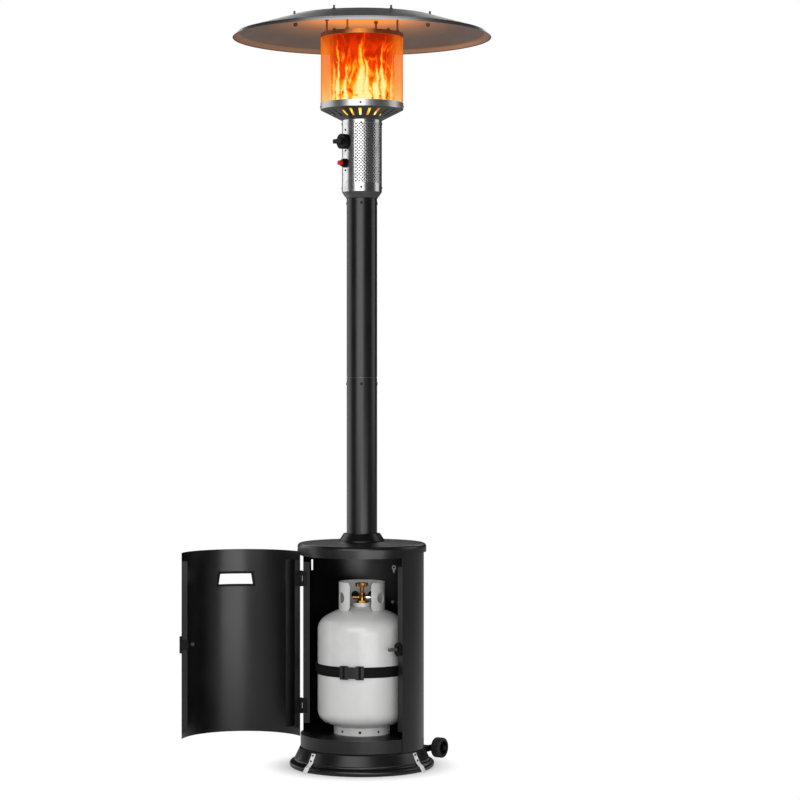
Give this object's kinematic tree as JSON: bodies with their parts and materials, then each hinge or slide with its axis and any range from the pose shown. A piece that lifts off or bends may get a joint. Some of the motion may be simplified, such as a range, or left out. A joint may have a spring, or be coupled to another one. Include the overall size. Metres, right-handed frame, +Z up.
{
  "type": "patio heater",
  "caption": "Free-standing gas patio heater: round tank cabinet with a curved door, tall pole, perforated burner head and wide dish reflector.",
  "frame": {"origin": "centre of the base ring's flat foot, on the floor, on the pole's axis", "axes": "+Z up along the pole; the door opening faces -Y; the door's hinges are on the -X side"},
  "size_m": [0.835, 0.76, 2.208],
  "materials": {
    "black_paint": "satin black powder coat",
    "stainless": "brushed stainless steel",
    "aluminium": "spun aluminium with faint turning marks",
    "bright_screw": "bright zinc plated steel",
    "black_screw": "black coated steel",
    "black_plastic": "moulded black plastic",
    "grey_plastic": "moulded grey plastic",
    "red_plastic": "glossy red plastic",
    "rubber": "black rubber",
    "tank_paint": "glossy light grey tank paint",
    "brass": "machined brass",
    "webbing": "black woven webbing",
    "heated_screen": "heat tinted steel mesh, glowing orange",
    "heated_ring": "heat darkened steel",
    "burner_steel": "dull heat resisting steel"
  },
  "bodies": {
    "heater": {"base_clip_screws": "black_screw", "base_clips": "bright_screw", "base_ring": "black_paint", "bottom_band": "black_paint", "burner_cup": "burner_steel", "burner_plate": "burner_steel", "cabinet_lid": "black_paint", "cabinet_shell": "black_paint", "catch_body": "black_plastic", "control_valve": "brass", "dish_studs": "bright_screw", "emitter_band": "stainless", "emitter_screen": "heated_screen", "emitter_top_ring": "heated_ring", "head_collar": "stainless", "head_housing": "stainless", "hinge_pins": "bright_screw", "hose_hook": "bright_screw", "igniter_bezel": "black_plastic", "igniter_body": "black_plastic", "jamb_hinge_leaves": "black_screw", "mixer_tube": "burner_steel", "outlet_cap": "bright_screw", "pilot_assembly": "burner_steel", "pole_flange": "black_paint", "pole_flange_bolts": "bright_screw", "pole_lower": "black_paint", "pole_screws": "black_screw", "pole_sleeve": "burner_steel", "pole_upper": "black_paint", "rear_bolts": "bright_screw", "reflector": "aluminium", "reflector_posts": "bright_screw", "sheet_screws": "black_screw", "strap_buckle": "black_plastic", "tank_body": "tank_paint", "tank_collar": "tank_paint", "tank_foot_ring": "tank_paint", "tank_shelf": "black_paint", "tank_strap": "webbing", "tank_valve": "brass", "top_ring": "black_paint", "vent_cone": "stainless", "wheel_arms": "black_paint", "wheel_axle": "black_screw"},
    "door": {"door_panel": "black_paint", "handle_trim": "black_plastic", "door_hinge_leaves": "black_screw", "latch_bracket": "black_plastic", "latch_screws": "black_screw", "latch_stud": "bright_screw"},
    "catch_pin": {"catch_plunger": "grey_plastic"},
    "spindle": {"knob_spindle": "bright_screw"},
    "knob": {"control_knob": "black_plastic"},
    "igniter": {"igniter_button": "red_plastic"},
    "left_wheel": {"left_wheel_tyre": "rubber", "left_wheel_hub": "black_plastic"},
    "right_wheel": {"right_wheel_tyre": "rubber", "right_wheel_hub": "black_plastic"},
    "handwheel": {"tank_handwheel": "brass"}
  },
  "joints": [
    {"name": "door_hinge", "type": "hinge", "parent": "heater", "child": "door", "pos_m": [-0.17914, -0.05541, 0.355], "axis": [0, 0, 1], "range_deg": [-20, 136]},
    {"name": "catch_push", "type": "slide", "parent": "heater", "child": "catch_pin", "axis": [0.284, 0.9588, 0], "range_m": [0, 0.004], "stiffness_N_per_m": 300},
    {"name": "knob_push", "type": "slide", "parent": "heater", "child": "spindle", "axis": [0.3665, 0.9304, 0], "range_m": [0, 0.003], "stiffness_N_per_m": 500},
    {"name": "knob_turn", "type": "hinge", "parent": "spindle", "child": "knob", "pos_m": [-0.02566, -0.06513, 1.831], "axis": [-0.3665, -0.9304, 0], "range_deg": [0, 180]},
    {"name": "igniter_push", "type": "slide", "parent": "heater", "child": "igniter", "axis": [0.3665, 0.9304, 0], "range_m": [0, 0.005], "stiffness_N_per_m": 400},
    {"name": "left_wheel_spin", "type": "hinge", "parent": "heater", "child": "left_wheel", "pos_m": [-0.12, 0.24, 0.032], "axis": [1, 0, 0], "continuous": true},
    {"name": "right_wheel_spin", "type": "hinge", "parent": "heater", "child": "right_wheel", "pos_m": [0.12, 0.24, 0.032], "axis": [1, 0, 0], "continuous": true},
    {"name": "handwheel_turn", "type": "hinge", "parent": "heater", "child": "handwheel", "pos_m": [0, 0, 0.528], "axis": [0, 0, 1], "range_deg": [0, 360]}
  ]
}
